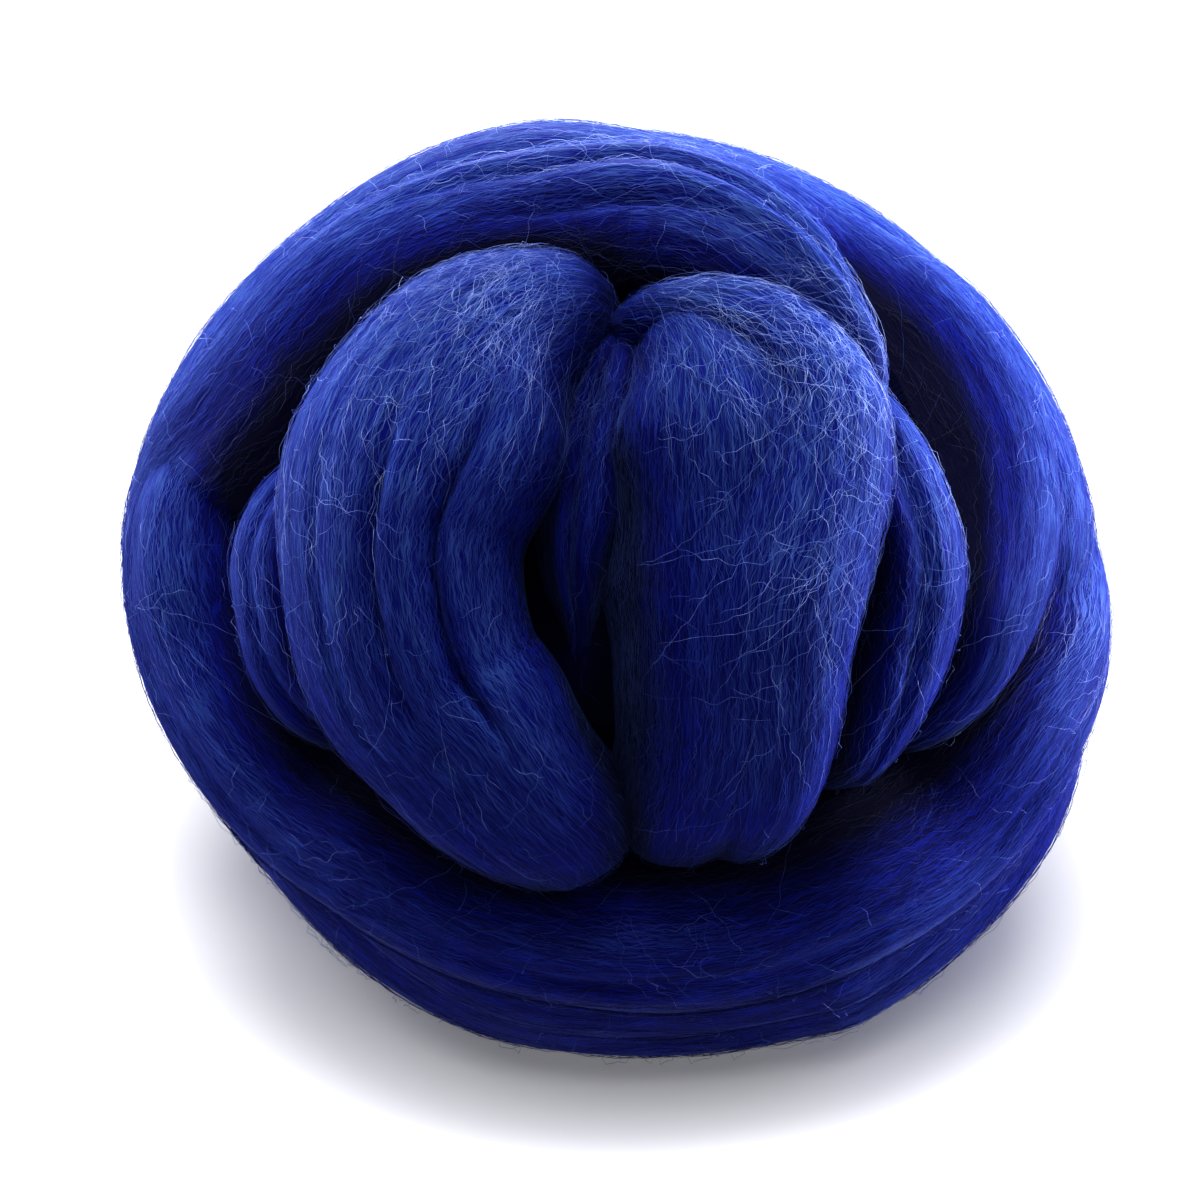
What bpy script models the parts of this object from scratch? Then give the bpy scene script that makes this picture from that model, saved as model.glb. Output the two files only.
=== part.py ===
# Ball of blue wool roving: one long, lofty strand wound over and under itself.
# Run with: blender --background --python part.py

import math

import bmesh
import bpy
import numpy as np

MM = 0.001

# The ball, measured along its face's own right, up and out
BALL_WIDTH = 150 * MM
BALL_RISE = 141 * MM
BALL_DEPTH = 144 * MM
FACE_TILT = math.radians(28)          # the face of the winding looks up by this much
FLAT_SPOT_DROP = 68.5 * MM            # from the ball's middle down to its flat spot
MIDDLE = (-0.03 * MM, -1.13 * MM, FLAT_SPOT_DROP)     # centres the ball's box on X and Y
CORE_DEPTH = 13 * MM                  # the windings underneath, below the ball's own surface
CORE_SEGMENTS = 40

# A strand's section is a soft, flattened round
SECTION_POWER = 2.1
CROWN_SIDES = 12                      # faces across the outward half of a section
HIDDEN_SIDES = 4                      # and across the half that lies inside the ball
RING_SPACING = 7 * MM
STEPS_PER_ROW = 20                    # of the smooth curve, from each row of a table to the next
NOSE_LENGTH = 14 * MM                 # over which a strand's end rounds off
TIP_SHARE = 0.12                      # of its full section that is left at the very end
SHORTEST_EDGE = 0.3 * MM              # slivers where two passes cross are welded up to this

WOOL_BLUE = (0.010, 0.024, 0.235)
WOOL_ROUGHNESS = 0.85
CREASE_ANGLE = math.radians(50)       # sharper edges than this, between two passes, shade as creases

# Each row is a section of the strand, in order along it:
#   clock  degrees round the face from its right, anticlockwise
#   lean   degrees away from the middle of the face; 90 is the rim, 180 the middle of the back
#   width  mm across
#   rise   mm that the strand's crown stands over the ball's own surface
# "thick" is the strand's thickness in mm. A pleat is a trough along the strand:
#   (place from -1 to 1 across, depth in mm, half width from 0 to 1).
PASSES = {
    "left_lobe": {
        "thick": 34,
        "rows": (
            # clock lean width rise
            (72, 46, 14, -18),
            (84, 43, 19, -9),
            (98, 38, 29, -3),
            (116, 34, 44, 1),
            (140, 31, 47, 3),
            (170, 26.5, 43, 3),
            (-154, 25, 41, 2),
            (-130, 26, 38, 1),
            (-112, 30, 33, 0),
            (-102, 36, 28, -3),
            (-96, 43, 24, -9),
            (-92, 50, 16, -18),
        ),
        "pleats": ((-0.32, 2.6, 0.13), (0.05, 2, 0.12), (0.56, 1, 0.12)),
    },
    "right_lobe": {
        "thick": 34,
        "rows": (
            # clock lean width rise
            (88, 45, 12, -18),
            (78, 38, 17, -11),
            (68, 31, 25, -7),
            (56, 23, 32, -5),
            (36, 17, 36, -4),
            (0, 14.5, 37, -4),
            (-40, 18, 34, -4),
            (-58, 25, 30, -4),
            (-70, 33, 27, -5),
            (-76, 41, 24, -10),
            (-80, 50, 16, -18),
        ),
        "pleats": ((-0.32, 1.2, 0.12),),
    },
    "right_lobe_fold": {
        "thick": 28,
        "rows": (
            # clock lean width rise
            (96, 42, 12, -17),
            (86, 39, 18, -6),
            (72, 37, 24, 0),
            (57, 36, 26, 2),
            (44, 34, 25, 3),
            (30, 29.5, 22, 3),
            (14, 25, 21, 3),
            (-5, 22.5, 21, 3),
            (-25, 24, 20, 2),
            (-43, 30, 19, 0),
            (-55, 36, 17, -2),
            (-64, 42, 15, -8),
            (-70, 50, 12, -17),
        ),
        "pleats": ((0.32, 0.9, 0.14),),
    },
    "right_inner_lobe": {
        "thick": 30,
        "rows": (
            # clock lean width rise
            (54, 46, 12, -17),
            (44, 43, 16, -8),
            (34, 40.5, 21, -3),
            (20, 39, 25, -1),
            (4, 38.5, 26, 0),
            (-10, 38.5, 26, -1),
            (-25, 39, 22, -2),
            (-38, 42, 16, -7),
            (-50, 46, 12, -17),
        ),
        "pleats": ((0, 1.2, 0.14),),
    },
    "left_inner_lobe": {
        "thick": 28,
        "rows": (
            # clock lean width rise
            (146, 46, 14, -18),
            (160, 46, 20, -8),
            (173, 46, 23, -4),
            (-175, 45, 23, -4),
            (-164, 45, 22, -5),
            (-152, 44, 20, -9),
            (-140, 43, 14, -18),
        ),
        "pleats": ((0, 1.2, 0.14),),
    },
    "outer_strand": {
        "thick": 32,
        "rows": (
            # clock lean width rise
            (-176, 112, 16, -16),
            (168, 105, 22, -5),
            (152, 98, 26, -3),
            (137, 94, 28, -2),
            (120, 91, 29, 0),
            (100, 88, 30, 0.5),
            (82, 87, 33, -1.5),
            (68, 84, 36, -1.5),
            (55, 85, 29, -1.5),
            (42, 79.5, 25, -1),
            (26, 72, 23, 0),
            (10, 63.5, 21, -0.5),
            (-4, 56.5, 18, -1.5),
            (-15, 54, 16, -4),
            (-27, 52, 13, -10),
            (-37, 52, 10, -18),
        ),
        "pleats": ((0.32, 1.6, 0.14),),
    },
    "upper_band": {
        "thick": 36,
        "rows": (
            # clock lean width rise
            (-170, 112, 16, -18),
            (-179, 100, 26, -5),
            (176, 88, 32, -1),
            (169, 77, 36, 0),
            (161, 69, 38, 1),
            (151, 64, 41, 1),
            (138, 62, 42, 2),
            (125, 62, 42, 2),
            (112, 61, 41, 2),
            (99, 59, 38, 2),
            (85, 57.5, 34, 2),
            (73, 53.5, 28, 2),
            (61, 48.5, 22, 2),
            (51, 45, 16, 0.5),
            (41, 43, 12, -3),
            (33, 42, 10, -8),
            (25, 42, 8, -17),
        ),
        "pleats": ((0, 2.2, 0.13), (-0.56, 1.3, 0.12)),
    },
    "right_edge_strand": {
        "thick": 26,
        "rows": (
            # clock lean width rise
            (84, 112, 16, -16),
            (68, 106, 22, -5),
            (54, 101, 24, -2.5),
            (42, 96, 26, -1),
            (29, 90, 28, -1.5),
            (16, 85, 31, -1.5),
            (4, 80, 31, -1.5),
            (-8, 77, 25, -6),
            (-18, 76, 16, -16),
        ),
        "pleats": (),
    },
    "front_belt": {
        "thick": 32,
        "rows": (
            # clock lean width rise
            (146, 80, 14, -18),
            (157, 76, 20, -8),
            (167, 73, 25, -2),
            (178, 70, 27, -1),
            (-170, 67, 27, -1),
            (-157, 62.5, 26, -1),
            (-144, 58.5, 27, -1),
            (-130, 53, 29, 0),
            (-112, 51, 30, 1),
            (-92, 52, 31, 1),
            (-70, 55, 32, 2),
            (-52, 58, 33, 3),
            (-36, 65, 32, 3),
            (-20, 69, 29, 3),
            (-8, 77, 26, 2),
            (2, 86, 24, 0),
            (11, 95, 22, -2),
            (22, 105, 19, -6),
            (36, 114, 14, -18),
        ),
        "pleats": ((0, 1.2, 0.14),),
    },
    "lower_belt": {
        "thick": 34,
        "rows": (
            # clock lean width rise
            (124, 106, 18, -16),
            (136, 100, 28, -6),
            (148, 92, 33, -3),
            (160, 86, 37, 0),
            (174, 82, 40, -1),
            (-170, 80, 42, -3.5),
            (-155, 79, 44, -4.5),
            (-140, 78, 45, -4.5),
            (-124, 78, 46, -3),
            (-106, 79, 48, -1),
            (-86, 80, 50, 0),
            (-68, 82, 48, 2),
            (-60, 83, 47, 4),
            (-46, 84, 45, 4),
            (-28, 87, 42, 4.2),
            (-12, 92, 38, 1),
            (2, 99, 34, -3),
            (14, 107, 27, -7),
            (26, 116, 18, -16),
        ),
        "pleats": ((-0.32, 1.6, 0.14), (0.32, 1.4, 0.14)),
    },
    "under_belt": {
        "thick": 32,
        "rows": (
            # clock lean width rise
            (158, 118, 20, -16),
            (172, 112, 38, -4),
            (-172, 111, 46, -1),
            (-152, 113, 54, 0),
            (-128, 116, 58, 0),
            (-90, 118, 62, 0),
            (-55, 116, 58, 0),
            (-30, 112, 50, 1),
            (-12, 110, 40, 0),
            (4, 110, 30, -4),
            (16, 112, 18, -16),
        ),
        "pleats": (),
    },
    "rear_rim": {
        "thick": 30,
        "rows": (
            # clock lean width rise
            (-146, 104, 18, -16),
            (-160, 101, 32, -4),
            (-176, 99, 38, 0),
            (168, 98, 43, 1),
            (150, 98, 45, 1),
            (125, 99, 46, 1),
            (92, 99, 46, 1),
            (62, 101, 45, 1),
            (38, 104, 42, 1),
            (18, 109, 38, 0),
            (0, 116, 33, -1),
            (-16, 123, 28, -4),
            (-30, 130, 18, -16),
        ),
        "pleats": ((0.32, 1.8, 0.14), (-0.32, 1.4, 0.14)),
    },
    "back_left_lobe": {
        "thick": 30,
        "rows": (
            # clock lean width rise
            (104, 100, 20, -16),
            (112, 112, 34, -5),
            (127, 122, 43, 0),
            (153, 129, 48, 1),
            (-176, 130, 48, 1),
            (-150, 127, 46, 0),
            (-128, 119, 38, -2),
            (-114, 108, 24, -16),
        ),
        "pleats": ((0, 1.8, 0.14),),
    },
    "back_middle_lobe": {
        "thick": 32,
        "rows": (
            # clock lean width rise
            (94, 102, 20, -16),
            (97, 116, 36, -4),
            (104, 136, 46, 0),
            (128, 160, 50, 1),
            (-140, 166, 50, 1),
            (-108, 148, 46, 0),
            (-100, 132, 40, -2),
            (-96, 116, 24, -16),
        ),
        "pleats": ((-0.32, 1.8, 0.14), (0.32, 1.5, 0.14)),
    },
    "back_right_lobe": {
        "thick": 30,
        "rows": (
            # clock lean width rise
            (78, 102, 20, -16),
            (72, 116, 36, -3),
            (56, 134, 46, 0),
            (22, 147, 50, 1),
            (-22, 150, 50, 1),
            (-54, 140, 46, 0),
            (-70, 126, 38, -2),
            (-78, 112, 24, -16),
        ),
        "pleats": ((0, 1.8, 0.14),),
    },
    "back_cross_band": {
        "thick": 26,
        "rows": (
            # clock lean width rise
            (150, 102, 18, -15),
            (150, 115, 28, -1),
            (149, 134, 32, 3),
            (144, 156, 34, 4),
            (-40, 174, 34, 4),
            (-36, 152, 32, 3),
            (-36, 134, 30, 1),
            (-36, 118, 20, -14),
        ),
        "pleats": ((0, 1.4, 0.14),),
    },
}


def clear_scene():
    for old in list(bpy.data.objects):
        bpy.data.objects.remove(old, do_unlink=True)


def direction(clock, lean):
    """Unit vector from the ball's middle, in the face's own right, up and out."""
    clock, lean = np.radians(clock), np.radians(lean)
    return np.stack([np.cos(clock) * np.sin(lean), np.sin(clock) * np.sin(lean), np.cos(lean)], -1)


def normalised(vectors):
    return vectors / np.linalg.norm(vectors, axis=-1, keepdims=True)


def ball_radius(directions):
    """Distance from the middle to the ball's own surface along each direction."""
    half = np.array([BALL_WIDTH, BALL_RISE, BALL_DEPTH]) / 2
    return 1 / np.linalg.norm(directions / half, axis=-1)


def smooth_curve(knots, steps):
    """Catmull-Rom curve through the knots, with so many steps from each to the next."""
    ends = np.vstack([2 * knots[0] - knots[1], knots, 2 * knots[-1] - knots[-2]])
    curve = []
    for before, start, end, after in zip(ends, ends[1:], ends[2:], ends[3:]):
        for t in np.linspace(0, 1, steps, endpoint=False):
            curve.append(0.5 * (2 * start + (end - before) * t
                                + (2 * before - 5 * start + 4 * end - after) * t ** 2
                                + (3 * start - before - 3 * end + after) * t ** 3))
    curve.append(knots[-1])
    return np.array(curve)


def evenly_spaced(curve, spacing):
    """The curve read at an even spacing along its first three columns, and how far along each row is."""
    travelled = np.linalg.norm(np.diff(curve[:, :3], axis=0), axis=1).cumsum()
    travelled = np.concatenate([[0], travelled])
    even = np.linspace(0, travelled[-1], 1 + round(travelled[-1] / spacing))
    return even, np.stack([np.interp(even, travelled, column) for column in curve.T], 1)


def rounded_ends(travelled):
    """1 along the strand, rounding down to its small tips."""
    from_tip = np.clip(np.minimum(travelled, travelled[-1] - travelled) / NOSE_LENGTH, 0, 1)
    return np.maximum(np.sqrt(1 - (1 - from_tip) ** 2), TIP_SHARE)


def section_loops(thick, rows, pleats):
    """Rings of points for one pass: its section, led round the ball and bent to the ball's curve."""
    clock, lean, width, rise = np.array(rows, float).T
    middle = direction(clock, lean)
    knots = np.column_stack([middle * ball_radius(middle)[:, None], width * MM, rise * MM])
    travelled, curve = evenly_spaced(smooth_curve(knots, STEPS_PER_ROW), RING_SPACING)
    middle, width, rise = normalised(curve[:, :3]), curve[:, 3], curve[:, 4]
    along = normalised(np.gradient(middle, axis=0))
    side = normalised(np.cross(along, middle))[:, None, :]
    middle = middle[:, None, :]
    taper = rounded_ends(travelled)[:, None]

    turn = np.concatenate([np.linspace(0, math.pi, CROWN_SIDES, endpoint=False),
                           np.linspace(math.pi, 2 * math.pi, HIDDEN_SIDES, endpoint=False)])
    across = np.sign(np.cos(turn)) * np.abs(np.cos(turn)) ** (2 / SECTION_POWER)
    height = np.sign(np.sin(turn)) * np.abs(np.sin(turn)) ** (2 / SECTION_POWER)
    lift = height * thick * MM / 2 * taper
    for place, depth, spread in pleats:
        trough = np.exp(-((across - place) / spread) ** 2) * np.clip(height, 0, 1)
        lift = lift - depth * MM * trough * (width / width.max())[:, None] ** 2

    swing = (across * (width[:, None] / 2 * taper) / ball_radius(middle))[..., None]
    outward = middle * np.cos(swing) + side * np.sin(swing)
    reach = ball_radius(outward) + rise[:, None] - thick * MM / 2 + lift
    return outward * reach[..., None]


def place_on_ball(name, mesh):
    """An object of the mesh, turned so that the face of the winding looks up and forwards."""
    data = bpy.data.meshes.new(name)
    mesh.to_mesh(data)
    mesh.free()
    placed = bpy.data.objects.new(name, data)
    placed.rotation_euler = (math.pi / 2 - FACE_TILT, 0, 0)
    placed.location = MIDDLE
    return placed


def strand(name, thick, rows, pleats):
    """One pass of the roving, as a closed body to be joined to the ball."""
    mesh = bmesh.new()
    loops = [[mesh.verts.new(point) for point in ring] for ring in section_loops(thick, rows, pleats)]
    for near, far in zip(loops, loops[1:]):
        for k in range(len(near)):
            mesh.faces.new((near[k - 1], near[k], far[k], far[k - 1]))
    mesh.faces.new(reversed(loops[0]))
    mesh.faces.new(loops[-1])
    bmesh.ops.triangulate(mesh, faces=mesh.faces)
    bmesh.ops.recalc_face_normals(mesh, faces=mesh.faces)
    guide = place_on_ball(name, mesh)
    guide.hide_render = True
    guide.display_type = "WIRE"
    return guide


def core():
    """The windings underneath, as one plain ball that every pass sinks into."""
    mesh = bmesh.new()
    bmesh.ops.create_uvsphere(mesh, u_segments=CORE_SEGMENTS, v_segments=CORE_SEGMENTS // 2, radius=1)
    half = [size / 2 - CORE_DEPTH for size in (BALL_WIDTH, BALL_RISE, BALL_DEPTH)]
    bmesh.ops.scale(mesh, vec=half, verts=mesh.verts)
    bmesh.ops.triangulate(mesh, faces=mesh.faces)
    ball = place_on_ball("roving_ball", mesh)
    bpy.context.scene.collection.objects.link(ball)
    return ball


def floor_cutter():
    """A block whose top face is the level that the ball rests on."""
    bpy.ops.mesh.primitive_cube_add(size=4 * BALL_WIDTH, location=(0, 0, -2 * BALL_WIDTH))
    block = bpy.context.active_object
    block.name = "floor_cutter"
    block.hide_render = True
    block.display_type = "WIRE"
    return block


def fuse(ball, passes, block):
    """Union the passes into the core, then press the flat spot."""
    join = ball.modifiers.new("wind", "BOOLEAN")
    join.operation = "UNION"
    join.operand_type = "COLLECTION"
    join.collection = passes
    join.solver = "EXACT"
    cut = ball.modifiers.new("flat_spot", "BOOLEAN")
    cut.operation = "DIFFERENCE"
    cut.object = block
    cut.solver = "EXACT"


def weld_slivers(mesh):
    """Collapse edges that are too short, wherever that leaves the skin closed."""
    welded = True
    while welded:
        mesh.edges.index_update()
        short = [edge for edge in mesh.edges if edge.calc_length() < SHORTEST_EDGE]
        short.sort(key=lambda edge: (edge.calc_length(), edge.index))
        welded = {}
        touched = set()
        for edge in short:
            a, b = edge.verts
            near_a = {link.other_vert(a) for link in a.link_edges}
            near_b = {link.other_vert(b) for link in b.link_edges}
            if a in touched or b in touched or len(near_a & near_b) != 2:
                continue
            welded[a] = b
            touched |= near_a | near_b
        if welded:
            bmesh.ops.weld_verts(mesh, targetmap=welded)


def faces_in_reach(start, unseen):
    """The faces joined to this one, which are taken off the unseen ones."""
    shell = [start]
    for face in shell:
        for edge in face.edges:
            for other in edge.link_faces:
                if other in unseen:
                    unseen.remove(other)
                    shell.append(other)
    return shell


def keep_outer_skin(ball):
    """Apply the modifiers, and drop any pocket that the passes close off inside."""
    evaluated = ball.evaluated_get(bpy.context.evaluated_depsgraph_get())
    mesh = bmesh.new()
    mesh.from_mesh(evaluated.to_mesh())
    evaluated.to_mesh_clear()
    bmesh.ops.triangulate(mesh, faces=mesh.faces)
    weld_slivers(mesh)
    unseen = set(mesh.faces)
    shells = []
    while unseen:
        shells.append(faces_in_reach(unseen.pop(), unseen))
    shells.sort(key=len)
    for pocket in shells[:-1]:
        bmesh.ops.delete(mesh, geom=pocket, context="FACES")
    ball.modifiers.clear()
    mesh.to_mesh(ball.data)
    mesh.free()


def wool():
    material = bpy.data.materials.new("blue_wool")
    material.use_nodes = True
    surface = material.node_tree.nodes["Principled BSDF"]
    surface.inputs["Base Color"].default_value = (*WOOL_BLUE, 1)
    surface.inputs["Roughness"].default_value = WOOL_ROUGHNESS
    surface.inputs["Metallic"].default_value = 0
    return material


def main():
    clear_scene()
    passes = bpy.data.collections.new("passes")
    bpy.context.scene.collection.children.link(passes)
    for name, sizes in PASSES.items():
        passes.objects.link(strand(name, sizes["thick"], sizes["rows"], sizes["pleats"]))
    ball = core()
    block = floor_cutter()
    fuse(ball, passes, block)
    bpy.context.view_layer.update()
    keep_outer_skin(ball)
    ball.data.shade_smooth()
    ball.data.set_sharp_from_angle(angle=CREASE_ANGLE)
    ball.data.materials.append(wool())


main()
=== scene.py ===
import math

import bmesh
import bpy
import numpy as np
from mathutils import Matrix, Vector
from mathutils.bvhtree import BVHTree
from mathutils.kdtree import KDTree


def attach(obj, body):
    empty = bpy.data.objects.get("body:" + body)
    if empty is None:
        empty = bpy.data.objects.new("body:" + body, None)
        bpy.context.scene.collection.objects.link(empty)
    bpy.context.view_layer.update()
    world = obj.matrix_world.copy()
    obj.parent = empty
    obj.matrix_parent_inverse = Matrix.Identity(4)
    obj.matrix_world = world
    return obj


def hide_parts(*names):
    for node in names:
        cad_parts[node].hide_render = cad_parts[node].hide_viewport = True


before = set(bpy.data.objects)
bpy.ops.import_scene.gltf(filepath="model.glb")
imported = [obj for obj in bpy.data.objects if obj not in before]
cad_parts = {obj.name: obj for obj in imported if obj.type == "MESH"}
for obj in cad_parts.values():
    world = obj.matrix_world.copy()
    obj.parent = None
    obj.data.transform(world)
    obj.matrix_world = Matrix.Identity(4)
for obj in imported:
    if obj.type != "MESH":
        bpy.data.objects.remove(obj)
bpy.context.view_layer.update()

mm = 0.001
waveTurn = 6.28          # radians in one wave, near enough

# the ball as a whole, in mm; the open face of the winding looks up by tilt degrees
ball = {"width": 150, "rise": 141, "depth": 144, "tilt": 28, "middle": (-0.03, -1.13, 68.5), "coreDepth": 19}

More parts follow.
